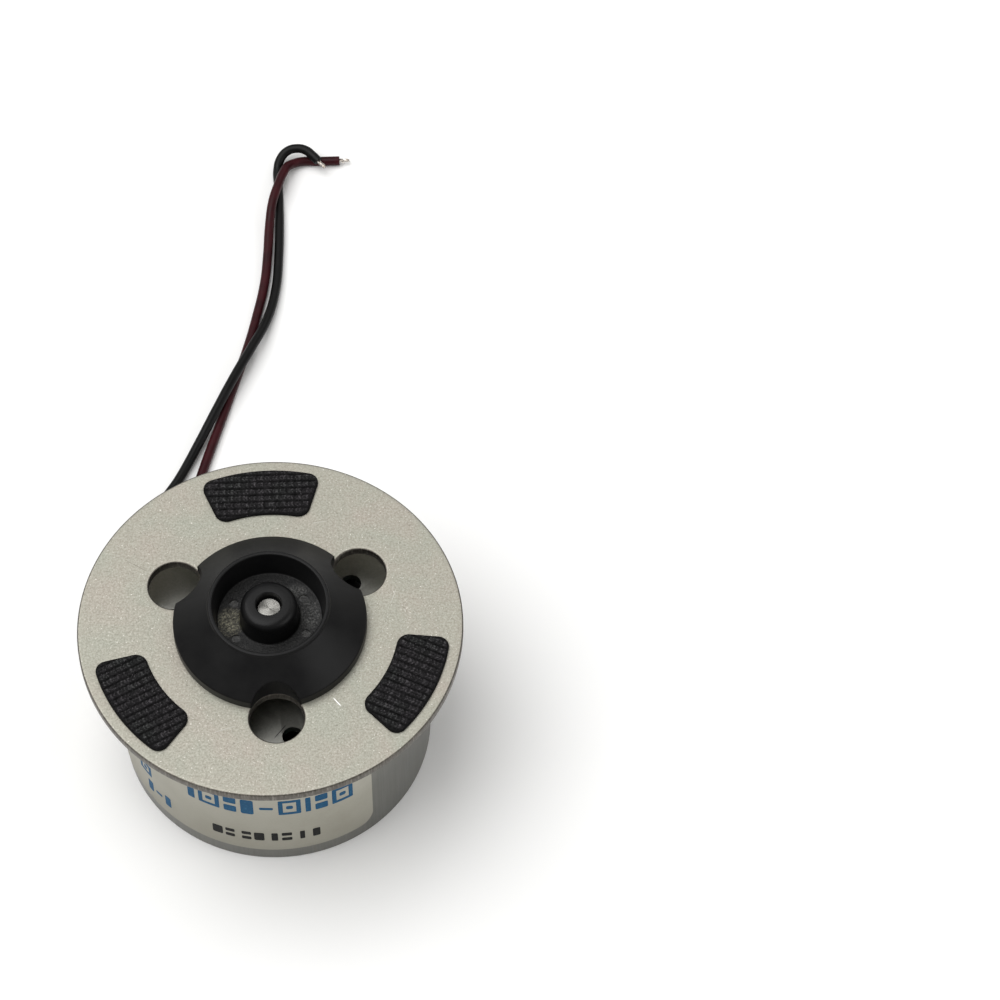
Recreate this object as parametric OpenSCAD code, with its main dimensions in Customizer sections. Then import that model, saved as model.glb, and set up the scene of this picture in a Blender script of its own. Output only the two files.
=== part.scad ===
// Spindle motor for a disc player: a flat brushed motor, 24 mm across, that
// carries an aluminium turntable with a centring hub and three friction pads.
// It stands on the rim of its case, with the shaft along +Z and the origin at
// the centre of that rim. Two flying leads leave through a notch in the rim
// and lie on the table behind the motor. Millimetres.

/* [Motor case] */
// Outside diameter of the case
can_d = 24.4; // [23.6:0.1:30]
// Height of the case, from the rim to the mounting face
can_h = 12.3; // [11.8:0.1:16]
// Thickness of the case's sheet
can_wall = 0.7; // [0.5:0.05:1]
// Outside radius of the case's upper edge
can_corner = 0.8; // [0.4:0.1:1.2]
// Diameter of the neck that holds the front bearing
neck_d = 6.2; // [5.8:0.1:7]
// Height of the neck above the mounting face
neck_h = 1.2; // [0.8:0.1:1.4]

/* [Mounting holes] */
// Diameter of the circle that the mounting holes lie on
mount_pcd = 16.4; // [15:0.1:18]
// Diameter of a mounting hole, the tap drill of a 2 mm screw
mount_hole_d = 1.6; // [1.2:0.05:2.4]
// How many mounting holes there are, and access holes over them
mount_count = 3; // [3:1:3]
// Direction of the first mounting hole
mount_angle = 43.5; // [0:0.5:120]

/* [Turntable] */
// Diameter of the turntable
disc_d = 29.7; // [27:0.1:36]
// Thickness of the turntable
disc_t = 0.8; // [0.5:0.1:1.5]
// Gap between the mounting face and the turntable
disc_gap = 2.4; // [2.3:0.1:5]
// Diameter of an access hole for the screwdriver
access_d = 4.2; // [3:0.1:4.3]
// Break on the turntable's edge
disc_edge = 0.12; // [0.05:0.01:0.2]
// How far the rotor is turned at rest
rotor_angle = 5.8; // [0:0.1:120]

/* [Centring hub] */
// Diameter that centres the disc
hub_d = 14.9; // [14.5:0.05:15.5]
// Height of the straight band that centres the disc
hub_band_h = 0.85; // [0.5:0.05:1.2]
// Height of the hub's lip above the turntable
hub_h = 3.3; // [2.8:0.1:4]
// Diameter of the ring that the top of the lip runs on
lip_d = 9.0; // [8.8:0.1:10]
// Roundness of the lip
lip_r = 0.3; // [0.2:0.05:0.4]
// Diameter of the recess at its floor
recess_d = 8.1; // [7.6:0.1:8.3]
// Height of the recess's floor above the turntable
recess_floor = 0.95; // [0.6:0.05:1.2]
// Diameter of the boss around the shaft
boss_d = 4.3; // [3.8:0.1:5]
// Height of the boss above the turntable
boss_h = 3.2; // [2.6:0.1:3.6]
// Rounding of the boss's top edge
boss_round = 0.6; // [0.2:0.05:0.7]
// Diameter of the spigot through the turntable
spigot_d = 5.2; // [4.4:0.1:5.6]
// Diameter of the staked rim under the turntable
stake_d = 6.8; // [6:0.1:8]
// Thickness of the staked rim
stake_h = 0.4; // [0.2:0.05:0.6]
// Diameter of an ejector-pin mark in the recess
mark_d = 0.7; // [0.4:0.1:1]
// Depth of an ejector-pin mark
mark_depth = 0.08; // [0.04:0.01:0.15]

/* [Friction pads] */
// Distance from the axis to a pad's inner edge
pad_in = 9.9; // [9.2:0.1:10.5]
// Distance from the axis to a pad's outer edge
pad_out = 13.9; // [12.5:0.1:14.3]
// Angle that a pad spans
pad_span = 40; // [25:1:60]
// Thickness of a pad
pad_t = 0.4; // [0.2:0.05:0.8]
// Radius of a pad's corners
pad_corner = 0.9; // [0.3:0.1:1.2]

/* [Shaft and bearings] */
// Diameter of the shaft
shaft_d = 2; // [1.7:0.1:2.4]
// Depth of the shaft's end below the top of the boss
shaft_sunk = 0.7; // [0:0.1:1]
// Chamfer on the shaft's ends
shaft_chamfer = 0.13; // [0.05:0.01:0.2]
// Gap between the shaft and a bearing, all round
bearing_gap = 0.02; // [0.01:0.005:0.05]
// End float of the rotor, at each end
end_float = 0.1; // [0.05:0.05:0.2]
// Outside diameter of the front bearing
front_bearing_d = 4.6; // [3.9:0.1:5.5]
// Length of the front bearing
front_bearing_len = 2.4; // [1.9:0.1:3]
// Outside diameter of the rear bearing
rear_bearing_d = 4; // [3.6:0.1:4.6]
// Length of the rear bearing
rear_bearing_len = 1.75; // [1.5:0.05:1.75]
// Thickness of the thrust plate
thrust_t = 0.3; // [0.2:0.05:0.4]
// Diameter of the thrust plate
thrust_d = 3.2; // [2.8:0.1:3.6]
// Diameter of the washers on the shaft
washer_d = 3.6; // [3:0.1:4]

/* [Magnet and core] */
// Thickness of the magnet strip
magnet_t = 2.3; // [1.8:0.1:2.8]
// Height of the magnet strip
magnet_h = 6.8; // [5:0.1:7]
// Angle of the gap between the magnet strip's ends
magnet_split = 6; // [2:1:12]
// Gap between the magnet and the core
air_gap = 0.3; // [0.2:0.05:0.5]
// Thickness of one lamination
lamination_t = 0.5; // [0.35:0.05:0.5]
// Thickness of the sheet insulator on each end of the core
insulator_t = 0.3; // [0.15:0.05:0.3]
// Width of a core arm
arm_w = 2.4; // [1.8:0.1:3]
// Thickness of a core shoe
shoe_t = 1; // [0.6:0.1:1.4]
// Opening between two shoes
slot_angle = 18; // [10:1:30]
// Diameter of the core's centre
core_hub_d = 5; // [4:0.1:5.2]
// Thickness of a coil beside its arm
coil_side = 2.1; // [1:0.1:2.2]
// Thickness of a coil over the end of its arm
coil_end = 0.5; // [0.3:0.05:0.5]

/* [Commutator and brushes] */
// Outside diameter of the commutator's copper
commutator_d = 3.3; // [2.8:0.05:3.9]
// Thickness of the copper
segment_t = 0.35; // [0.2:0.05:0.4]
// Gap between two segments
segment_gap = 8; // [4:1:14]
// Thickness of the ring that clamps the segments
clamp_ring_t = 0.3; // [0.2:0.05:0.4]
// Outside diameter of the ring varistor
varistor_d = 5.3; // [4.6:0.1:5.3]
// Height of the clamp ring and the varistor
varistor_h = 0.4; // [0.3:0.05:0.4]
// Gap between a brush and the commutator
brush_gap = 0.05; // [0.03:0.01:0.1]
// Thickness of a brush arm
brush_t = 0.2; // [0.1:0.05:0.3]
// Height of a brush arm
brush_h = 1; // [0.8:0.1:1.1]
// Size of the rubber damper on a brush arm, along, across and up
damper = [1.6, 0.6, 0.8]; // [0.4:0.1:2]

/* [End cap and terminals] */
// Depth of the end cap inside the rim
cap_inset = 0.5; // [0.3:0.1:0.5]
// Thickness of the end cap's floor
cap_floor = 1; // [0.8:0.1:1.2]
// Thickness of the end cap's side wall
cap_side = 1.6; // [1.2:0.1:2]
// Height of the end cap's side wall, from the case's rim
cap_h = 4; // [3.9:0.1:4.2]
// Outside diameter of the rear bearing's housing
housing_d = 6.2; // [5.6:0.1:7]
// Direction in which the leads leave
exit_angle = 125; // [100:1:150]
// Width of the notch for the leads
notch_w = 7; // [6.4:0.1:8]
// Height of the notch for the leads
notch_h = 2.3; // [2.2:0.05:2.4]
// Angle of one crimp of the rim
crimp_angle = 14; // [8:1:20]
// How far a crimp reaches inwards
crimp_reach = 0.8; // [0.4:0.1:1.2]
// Thickness of a terminal
terminal_t = 0.3; // [0.2:0.05:0.4]
// Width of a terminal
terminal_w = 1.8; // [1.2:0.1:2]
// Distance from the middle of the notch to the middle of a terminal
terminal_y = 1.9; // [1.7:0.1:2.1]
// Distance from the axis to the terminals' upright legs
terminal_in = 6.8; // [6.4:0.1:7.2]
// Distance from the case's wall to the terminals' outer ends
terminal_short = 1; // [0.8:0.1:1.4]
// Radius of a solder joint
solder_r = 0.8; // [0.6:0.05:0.85]

/* [Label] */
// Thickness of the label
label_t = 0.1; // [0.05:0.01:0.2]
// Height of the label's lower edge above the rim
label_low = 1.6; // [1:0.1:3]
// Height of the label
label_h = 9.2; // [6:0.1:9.4]
// Direction of the label's right-hand edge
label_right = -50; // [-80:1:-20]
// Angle that the label spans
label_span = 138; // [60:1:160]

/* [Leads] */
// Outside diameter of a lead
lead_d = 0.8; // [0.6:0.05:1]
// Diameter of the tinned strands at its end
tip_d = 0.36; // [0.2:0.02:0.5]
// Length of the tinned strands
tip_len = 0.8; // [0.4:0.1:3]

/* [Hidden] */
$fn = 96;
cut = 1;
can_r = can_d / 2;
can_in = can_r - can_wall;
shaft_r = shaft_d / 2;

// Heights, from the rim up
disc_low = can_h + disc_gap;
disc_top = disc_low + disc_t;
front_bearing_top = can_h + neck_h - 0.1;
thrust_top = cap_inset + 0.2 + thrust_t;
rear_bearing_top = thrust_top + rear_bearing_len;
commutator_low = rear_bearing_top + end_float + 0.25;
brush_low = commutator_low + 0.2;
brush_top = brush_low + brush_h;
varistor_low = brush_top + 0.15;
varistor_top = varistor_low + varistor_h;
hook_h = 0.25;
insulator_low = varistor_top + hook_h + 0.2;
core_low = insulator_low + insulator_t;
lamination_count = 8;
core_top = core_low + lamination_count * lamination_t;
washer_low = front_bearing_top + end_float;
washer_t = 0.2;
hub_low = washer_low + 2 * washer_t;
shaft_low = thrust_top + end_float / 2;
shaft_top = disc_top + boss_h - shaft_sunk;

// Core and coils
core_r = can_in - magnet_t - air_gap;
pole_step = 120;
coil_in = varistor_d / 2 + 0.05;
coil_out = core_r - shoe_t - 0.2;

// Terminals, on axes turned to the notch
terminal_low = notch_h - terminal_t;
terminal_out = can_r - terminal_short - 0.6;
solder_x = terminal_out - 1.4;
lead_x = terminal_out - 0.3;
lead_z = terminal_low - lead_d / 2 - 0.05;

// Routes of the leads: across, along, and lift above lying on the table
function lead_start(side) = [
    lead_x * cos(exit_angle) - side * terminal_y * sin(exit_angle),
    lead_x * sin(exit_angle) + side * terminal_y * cos(exit_angle),
    lead_z - lead_d / 2];
black_route = concat([lead_start(1)], [
    [-8.6, 9, 1.15], [-9.5, 10.3, 1], [-10.4, 11.6, 0.65], [-11.1, 13, 0.25],
    [-11.5, 14.6, 0.05], [-11.5, 16.4, 0], [-11.1, 18.4, 0], [-10.3, 20.4, 0],
    [-9.2, 22.4, 0.05], [-7.7, 25.8, 0.3], [-6.2, 29.3, 0.75], [-4.9, 32.4, 0.9],
    [-3.6, 35.4, 0.8], [-2.5, 38.5, 0.3], [-1.9, 41.9, 0.05], [-1.8, 45.4, 0],
    [-1.85, 48.2, 0], [-2, 51, 0], [-2.15, 53, 0], [-2.25, 54.5, 0.05],
    [-2.05, 55.35, 0.4], [-1.45, 56, 0.75], [-0.65, 56.2, 0.9], [0.15, 56, 0.95],
    [0.75, 55.5, 0.9], [1.3, 54.95, 0.8]]);
red_route = concat([lead_start(-1)], [
    [-5.5, 11.2, 1.15], [-6.4, 12.5, 1], [-7.2, 13.8, 0.6], [-7.8, 15.3, 0.2],
    [-8.1, 17, 0], [-8.1, 18.8, 0], [-7.8, 20.8, 0], [-7.4, 22.6, 0],
    [-6.6, 25.8, 0], [-5.7, 29.3, 0], [-4.8, 32.8, 0], [-4, 36, 0],
    [-3.4, 39.1, 0], [-2.9, 42.4, 0.05], [-2.75, 45.4, 0.15], [-2.7, 48.2, 0.4],
    [-2.5, 50.5, 0.8], [-2.05, 52.4, 0.9], [-1.7, 53.7, 0.75], [-1.4, 54.5, 0.5],
    [-0.85, 55.1, 0.2], [0, 55.45, 0.05], [1.1, 55.5, 0], [2.1, 55.55, 0],
    [3.1, 55.6, 0]]);

// A ring between two radii and two heights, whole or over an angle
module ring(r_in, r_out, z_low, z_high, from = 0, span = 360) {
    rotate([0, 0, from])
        rotate_extrude(angle = span)
            translate([r_in, z_low])
                square([r_out - r_in, z_high - z_low]);
}

// A block that starts at x_in, centred across, on axes turned to the notch
module notch_block(x_in, x_out, width, z_low, z_high, y = 0) {
    rotate([0, 0, exit_angle])
        translate([x_in, y - width / 2, z_low])
            cube([x_out - x_in, width, z_high - z_low]);
}

module at_mounts(angle) {
    for (i = [0 : mount_count - 1])
        rotate([0, 0, angle + i * 360 / mount_count])
            translate([mount_pcd / 2, 0, 0])
                children();
}

// Case: a drawn steel cup with its mouth down
module motor_can() {
    color([0.60, 0.60, 0.56])
    difference() {
        union() {
            rotate_extrude() {
                difference() {
                    union() {
                        square([can_r, can_h - can_corner]);
                        square([can_r - can_corner, can_h]);
                        translate([can_r - can_corner, can_h - can_corner])
                            circle(can_corner);
                        square([neck_d / 2, can_h + neck_h]);
                    }
                    translate([0, -cut])
                        square([can_in, can_h - can_wall + cut]);
                    square([front_bearing_d / 2, can_h + neck_h + cut]);
                }
            }
            for (i = [0 : 2])
                ring(can_in - crimp_reach, can_in + can_wall / 2, 0, cap_inset,
                    exit_angle + 60 + i * 120 - crimp_angle / 2, crimp_angle);
        }
        at_mounts(mount_angle)
            cylinder(d = mount_hole_d, h = can_h + cut);
        notch_block(can_in - cut, can_r + cut, notch_w, -cut, notch_h);
    }
}

// Magnet: one strip of bonded ferrite bent round inside the case
module magnet_ring() {
    color([0.20, 0.18, 0.18])
        ring(can_in - magnet_t, can_in, cap_h, cap_h + magnet_h,
            exit_angle + 180 + magnet_split / 2, 360 - magnet_split);
}

module bearing(outer_d, z_low, z_high) {
    color([0.66, 0.50, 0.30])
        ring(shaft_r + bearing_gap, outer_d / 2, z_low, z_high);
}

module front_bearing() {
    bearing(front_bearing_d, front_bearing_top - front_bearing_len, front_bearing_top);
}

module rear_bearing() {
    bearing(rear_bearing_d, thrust_top, rear_bearing_top);
}

module thrust_plate() {
    color([0.75, 0.75, 0.74])
        translate([0, 0, thrust_top - thrust_t])
            cylinder(d = thrust_d, h = thrust_t);
}

// End cap: carries the rear bearing, the brushes and the terminals
module end_cap() {
    pocket_in = terminal_in - terminal_t - 0.2;
    ceiling = 0.6;
    color([0.09, 0.09, 0.09])
    difference() {
        union() {
            ring(0, can_in, cap_inset, cap_inset + cap_floor);
            ring(can_in - cap_side, can_in, cap_inset, cap_h);
            ring(0, housing_d / 2, cap_inset - 0.2, rear_bearing_top);
            intersection() {
                notch_block(pocket_in - 0.8, can_in, notch_w + 1.6, cap_inset, notch_h + ceiling);
                ring(0, can_in, cap_inset, cap_h);
            }
        }
        translate([0, 0, thrust_top])
            cylinder(d = rear_bearing_d, h = cap_h);
        translate([0, 0, thrust_top - thrust_t])
            cylinder(d = thrust_d, h = cap_h);
        notch_block(pocket_in, can_r, notch_w, -cut, notch_h);
        for (side = [-1, 1])
            notch_block(terminal_in, terminal_in + terminal_t, terminal_w, notch_h - cut,
                cap_h, side * terminal_y);
    }
}

// Terminal: a brass tab under the cap with a leg up to its brush arm
module terminal(side) {
    color([0.80, 0.62, 0.28]) {
        notch_block(terminal_in, terminal_out, terminal_w, terminal_low, notch_h,
            side * terminal_y);
        notch_block(terminal_in, terminal_in + terminal_t, terminal_w, terminal_low,
            brush_top, side * terminal_y);
    }
}

// Brush arm: a bronze strip that runs past one side of the commutator
module brush_arm(side) {
    face = commutator_d / 2 + brush_gap;
    foot = 1.2;
    color([0.82, 0.60, 0.34]) {
        notch_block(-commutator_d / 2, terminal_in, brush_t, brush_low, brush_top,
            side * (face + brush_t / 2));
        notch_block(terminal_in - terminal_t, terminal_in, foot, brush_low, brush_top,
            side * (face + foot / 2));
    }
}

module brush_damper(side) {
    from_axis = commutator_d / 2 + brush_gap + brush_t;
    start = commutator_d / 2 + 0.6;
    color([0.15, 0.15, 0.15])
        notch_block(start, start + damper[0], damper[1], brush_low, brush_low + damper[2],
            side * (from_axis + damper[1] / 2));
}

// Solder: a dome under the terminal, and the neck that grips the lead's strands
module solder(side) {
    neck_r = 0.28;
    color([0.78, 0.78, 0.80])
        rotate([0, 0, exit_angle])
            translate([solder_x, side * terminal_y, 0]) {
                difference() {
                    translate([0, 0, terminal_low])
                        sphere(solder_r);
                    translate([0, 0, terminal_low + solder_r])
                        cube(2 * solder_r, center = true);
                }
                translate([0, 0, lead_z])
                    rotate([0, 90, 0])
                        cylinder(r = neck_r, h = lead_x - solder_x);
            }
}

// Label: a paper sticker wrapped round the left of the case
module label() {
    color([0.86, 0.85, 0.80])
        ring(can_r, can_r + label_t, label_low, label_low + label_h,
            label_right - label_span, label_span);
}

// A tube of eight sides with one ring at each point of its route
function unit(v) = v / norm(v);
function heading(route, i) =
    unit(route[min(i + 1, len(route) - 1)] - route[max(i - 1, 0)]);
function ring_points(centre, along, r, sides) =
    let (across = unit(cross(along, [0, 0, 1])), up = cross(across, along))
    [for (k = [0 : sides - 1])
        centre + r * cos(360 * k / sides) * across + r * sin(360 * k / sides) * up];

module lead(route) {
    sides = 8;
    flat_r = lead_d / 2;
    centres = [for (p = route) p + [0, 0, flat_r]];
    last = len(centres) - 1;
    points = [for (i = [0 : last], p = ring_points(centres[i], heading(centres, i), flat_r, sides)) p];
    walls = [for (i = [0 : last - 1], k = [0 : sides - 1])
        let (a = i * sides + k, b = i * sides + (k + 1) % sides)
        [a, b, b + sides, a + sides]];
    near_end = [for (k = [sides - 1 : -1 : 0]) k];
    far_end = [for (k = [0 : sides - 1]) last * sides + k];
    polyhedron(points, concat(walls, [near_end, far_end]), convexity = 4);
}

module lead_red() {
    color([0.36, 0.05, 0.12])
        lead(red_route);
}

module lead_black() {
    color([0.07, 0.07, 0.08])
        lead(black_route);
}

// The tinned strands that stand out of a lead's end
module lead_tip(route) {
    end = route[len(route) - 1] + [0, 0, lead_d / 2];
    along = heading(route, len(route) - 1);
    color([0.75, 0.74, 0.72])
        translate(end)
            rotate([0, acos(along[2]), atan2(along[1], along[0])])
                cylinder(d = tip_d, h = tip_len);
}

module shaft() {
    color([0.80, 0.80, 0.81])
        rotate_extrude()
            polygon([
                [0, shaft_low], [shaft_r - shaft_chamfer, shaft_low],
                [shaft_r, shaft_low + shaft_chamfer], [shaft_r, shaft_top - shaft_chamfer],
                [shaft_r - shaft_chamfer, shaft_top], [0, shaft_top]]);
}

module turntable_disc() {
    disc_r = disc_d / 2;
    color([0.80, 0.79, 0.76])
    difference() {
        rotate_extrude()
            polygon([
                [spigot_d / 2, disc_low], [disc_r - disc_edge, disc_low],
                [disc_r, disc_low + disc_edge], [disc_r, disc_top - disc_edge],
                [disc_r - disc_edge, disc_top], [spigot_d / 2, disc_top]]);
        rotate([0, 0, rotor_angle])
            at_mounts(30)
                translate([0, 0, disc_low - cut])
                    cylinder(d = access_d, h = disc_t + 2 * cut);
    }
}

// Centring hub: a moulded cone with a recess, a boss for the shaft and a staked spigot
module centring_hub() {
    lip_centre = disc_top + hub_h - lip_r;
    boss_r = boss_d / 2;
    boss_top = disc_top + boss_h;
    lead_in = 0.25;
    color([0.08, 0.08, 0.09])
    difference() {
        union() {
            rotate_extrude() {
                polygon([
                    [shaft_r, disc_top], [hub_d / 2, disc_top],
                    [hub_d / 2, disc_top + hub_band_h],
                    [lip_d / 2 + lip_r * 0.75, lip_centre + lip_r * 0.66],
                    [lip_d / 2 - lip_r, lip_centre],
                    [recess_d / 2, disc_top + recess_floor],
                    [shaft_r, disc_top + recess_floor]]);
                translate([lip_d / 2, lip_centre])
                    circle(lip_r);
                polygon([
                    [shaft_r, disc_top], [boss_r + 0.15, disc_top],
                    [boss_r + 0.15, disc_top + recess_floor],
                    [boss_r, boss_top - boss_round], [shaft_r, boss_top - boss_round]]);
                translate([shaft_r, boss_top - boss_round])
                    square([boss_r - boss_round - shaft_r, boss_round]);
                translate([boss_r - boss_round, boss_top - boss_round])
                    circle(boss_round);
            }
            ring(shaft_r, spigot_d / 2, disc_low - stake_h, disc_top);
            ring(shaft_r, stake_d / 2, disc_low - stake_h, disc_low);
            ring(shaft_r, washer_d / 2 + 0.2, hub_low, disc_low);
        }
        translate([0, 0, hub_low - cut])
            cylinder(r = shaft_r, h = boss_top - hub_low + 2 * cut);
        translate([0, 0, boss_top - lead_in])
            cylinder(r1 = shaft_r, r2 = shaft_r + lead_in, h = lead_in);
        rotate([0, 0, rotor_angle]) {
            at_mounts(30)
                translate([0, 0, disc_top - cut])
                    cylinder(d = access_d, h = hub_h + 2 * cut);
            for (angle = [30, 150, 210, 330])
                rotate([0, 0, angle])
                    translate([(recess_d + boss_d) / 4, 0, disc_top + recess_floor - mark_depth])
                        cylinder(d = mark_d, h = hub_h);
        }
    }
}

// Friction pad: a ring sector of cloth with round corners
function arc(centre, r, from, to, steps) = [
    for (k = [0 : steps])
        let (a = from + (to - from) * k / steps)
        centre + r * [cos(a), sin(a)]];
function at_angle(r, a) = [r * cos(a), r * sin(a)];
function pad_outline() =
    let (
        c = pad_corner,
        half = pad_span / 2,
        far = half - asin(c / (pad_out - c)),
        near = half - asin(c / (pad_in + c)))
    concat(
        arc([0, 0], pad_out, -far, far, 24),
        arc(at_angle(pad_out - c, far), c, far, half + 90, 8),
        arc(at_angle(pad_in + c, near), c, half + 90, near + 180, 8),
        arc([0, 0], pad_in, near, -near, 18),
        arc(at_angle(pad_in + c, -near), c, 180 - near, 270 - half, 8),
        arc(at_angle(pad_out - c, -far), c, -half - 90, -far, 8));

module friction_pad(i) {
    color([0.10, 0.10, 0.10])
        rotate([0, 0, rotor_angle + 90 + i * 120])
            translate([0, 0, disc_top])
                linear_extrude(pad_t)
                    polygon(pad_outline());
}

module washer_steel() {
    color([0.70, 0.70, 0.70])
        ring(shaft_r, washer_d / 2, washer_low, washer_low + washer_t);
}

module washer_fibre() {
    color([0.12, 0.12, 0.12])
        ring(shaft_r, washer_d / 2, washer_low + washer_t, hub_low);
}

module washer_rear() {
    color([0.85, 0.83, 0.76])
        ring(shaft_r, washer_d / 2 - 0.4, rear_bearing_top + end_float, commutator_low);
}

// One slice of the core: a centre, three arms and three shoes
module core_slice(z_low, z_high) {
    shoe_in = core_r - shoe_t;
    rotate([0, 0, rotor_angle]) {
        ring(shaft_r, core_hub_d / 2, z_low, z_high);
        for (i = [0 : 2])
            rotate([0, 0, i * pole_step]) {
                translate([core_hub_d / 2 - 0.5, -arm_w / 2, z_low])
                    cube([shoe_in - core_hub_d / 2 + 0.7, arm_w, z_high - z_low]);
                ring(shoe_in, core_r, z_low, z_high, (slot_angle - pole_step) / 2,
                    pole_step - slot_angle);
            }
    }
}

module lamination(i) {
    color([0.52, 0.53, 0.55])
        core_slice(core_low + i * lamination_t, core_low + (i + 1) * lamination_t);
}

module core_insulator_bottom() {
    color([0.20, 0.45, 0.30])
        core_slice(insulator_low, core_low);
}

// The upper insulator has a sleeve that keeps the core off the front bearing
module core_insulator_top() {
    color([0.20, 0.45, 0.30]) {
        core_slice(core_top, core_top + insulator_t);
        ring(shaft_r, shaft_r + 0.6, core_top,
            front_bearing_top - front_bearing_len - end_float);
    }
}

// Coil: enamelled wire wound round one arm, following the shoe outside
module winding(i) {
    z_low = insulator_low - coil_end;
    z_high = core_top + insulator_t + coil_end;
    width = arm_w + 2 * coil_side;
    color([0.72, 0.36, 0.16])
        rotate([0, 0, rotor_angle + i * pole_step])
            difference() {
                intersection() {
                    translate([coil_in, -width / 2, z_low])
                        cube([coil_out, width, z_high - z_low]);
                    translate([0, 0, z_low])
                        cylinder(r = coil_out, h = z_high - z_low);
                }
                translate([0, -arm_w / 2, insulator_low])
                    cube([core_r, arm_w, core_top + insulator_t - insulator_low]);
            }
}

module commutator_sleeve() {
    color([0.30, 0.18, 0.10])
        ring(shaft_r, commutator_d / 2 - segment_t, commutator_low, insulator_low);
}

// Segment: an arc of copper with a hook for the ends of the coils
module commutator_segment(i) {
    hook_w = 0.8;
    hook_top = varistor_top + hook_h;
    seg_in = commutator_d / 2 - segment_t;
    color([0.80, 0.45, 0.25])
        rotate([0, 0, rotor_angle + 60 + i * pole_step]) {
            ring(seg_in, commutator_d / 2, commutator_low + 0.1, hook_top,
                (segment_gap - pole_step) / 2, pole_step - segment_gap);
            translate([commutator_d / 2 - segment_t / 2, -hook_w / 2, varistor_top])
                cube([varistor_d / 2 - commutator_d / 2, hook_w, hook_h]);
        }
}

module commutator_ring() {
    color([0.12, 0.12, 0.12])
        ring(commutator_d / 2, commutator_d / 2 + clamp_ring_t, varistor_low, varistor_top);
}

module varistor_ring() {
    color([0.30, 0.30, 0.32])
        ring(commutator_d / 2 + clamp_ring_t, varistor_d / 2, varistor_low, varistor_top);
}

motor_can();
magnet_ring();
front_bearing();
end_cap();
rear_bearing();
thrust_plate();
brush_arm(-1);  // brush_arm_positive
brush_arm(1);  // brush_arm_negative
brush_damper(-1);  // brush_damper_positive
brush_damper(1);  // brush_damper_negative
terminal(-1);  // terminal_positive
terminal(1);  // terminal_negative
solder(-1);  // solder_positive
solder(1);  // solder_negative
label();
lead_red();
lead_black();
lead_tip(red_route);  // lead_tip_red
lead_tip(black_route);  // lead_tip_black
shaft();
turntable_disc();
centring_hub();
friction_pad(0);  // friction_pad_1
friction_pad(1);  // friction_pad_2
friction_pad(2);  // friction_pad_3
washer_steel();
washer_fibre();
washer_rear();
core_insulator_top();
core_insulator_bottom();
winding(0);  // winding_1
winding(1);  // winding_2
winding(2);  // winding_3
commutator_sleeve();
commutator_segment(0);  // commutator_segment_1
commutator_segment(1);  // commutator_segment_2
commutator_segment(2);  // commutator_segment_3
commutator_ring();
varistor_ring();
for (i = [0 : lamination_count - 1])
    lamination(i);
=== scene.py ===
# %% [markdown]
# # Spindle motor for a disc player
# This lesson rebuilds a flat brushed motor, 24 mm across, round its CAD model:
# a plated case, an aluminium turntable with a black centring hub, three cloth
# pads and two flying leads. The CAD model is loaded as a fixed frame. A new piece
# stands in for a CAD node or is laid on one; other nodes only get a finish.

# %% Load the frame
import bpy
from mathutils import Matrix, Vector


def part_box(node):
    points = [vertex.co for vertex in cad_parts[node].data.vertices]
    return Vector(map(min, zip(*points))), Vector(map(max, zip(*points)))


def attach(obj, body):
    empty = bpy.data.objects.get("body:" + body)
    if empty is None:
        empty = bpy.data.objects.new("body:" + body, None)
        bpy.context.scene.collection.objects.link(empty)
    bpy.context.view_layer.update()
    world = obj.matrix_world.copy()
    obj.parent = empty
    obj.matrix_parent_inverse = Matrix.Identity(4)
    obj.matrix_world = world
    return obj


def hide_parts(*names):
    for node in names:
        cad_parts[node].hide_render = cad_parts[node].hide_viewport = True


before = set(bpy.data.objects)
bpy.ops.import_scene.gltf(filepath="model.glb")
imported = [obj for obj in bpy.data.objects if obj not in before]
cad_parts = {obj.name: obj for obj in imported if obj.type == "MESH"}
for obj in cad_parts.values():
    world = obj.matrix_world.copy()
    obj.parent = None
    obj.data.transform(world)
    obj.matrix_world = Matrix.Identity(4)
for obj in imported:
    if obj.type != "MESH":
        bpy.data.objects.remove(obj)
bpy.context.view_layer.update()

# %% Modules and units
import math

import bmesh
import bpy
from mathutils import Matrix, Vector, noise

MM = 0.001
scene = bpy.context.scene

# %% [markdown]
# ## Camera
# A long lens keeps the circles of a small part calm. The camera looks along +Y and
# down, so the turntable reads as a wide ellipse and the side of the case shows
# under it. It is aimed beside the motor, which stands left of the middle. A plain
# matrix, unlike a Track To constraint, lets other views move the camera freely.

# %% Camera
AIM = Vector((0.01754, 0.01538, 0.00932))
EYE_DISTANCE = 0.320
EYE_ELEVATION = math.radians(58.22)
EYE_ROLL = math.radians(0.754)

eye_data = bpy.data.cameras.new("eye")
eye_data.lens = 143.51
eye_data.sensor_width = 36.0
eye_data.clip_start = 0.01
eye = bpy.data.objects.new("eye", eye_data)
scene.collection.objects.link(eye)
tilt = Matrix.Rotation(math.pi / 2 - EYE_ELEVATION, 4, "X")
toward_eye = tilt @ Vector((0, 0, 1))
eye.matrix_world = (
    Matrix.Translation(AIM + toward_eye * EYE_DISTANCE)
    @ tilt
    @ Matrix.Rotation(EYE_ROLL, 4, "Z")
)
scene.camera = eye
print("camera at", [round(x, 4) for x in eye.matrix_world.translation])

# %% [markdown]
# ## Finishes: the shared tools
# Every finish here is made from a few building blocks, so each gets a short
# function: where a pattern is read, a cloud of a given size in metres, a colour
# for each value of the cloud, and a relief. A texture's scale is one over that
# size. Numbers that are the same all over are set on the shader, never wired in.


# %% Tools for finishes
def surface_of(made):
    return made.node_tree.nodes["Principled BSDF"]


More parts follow.
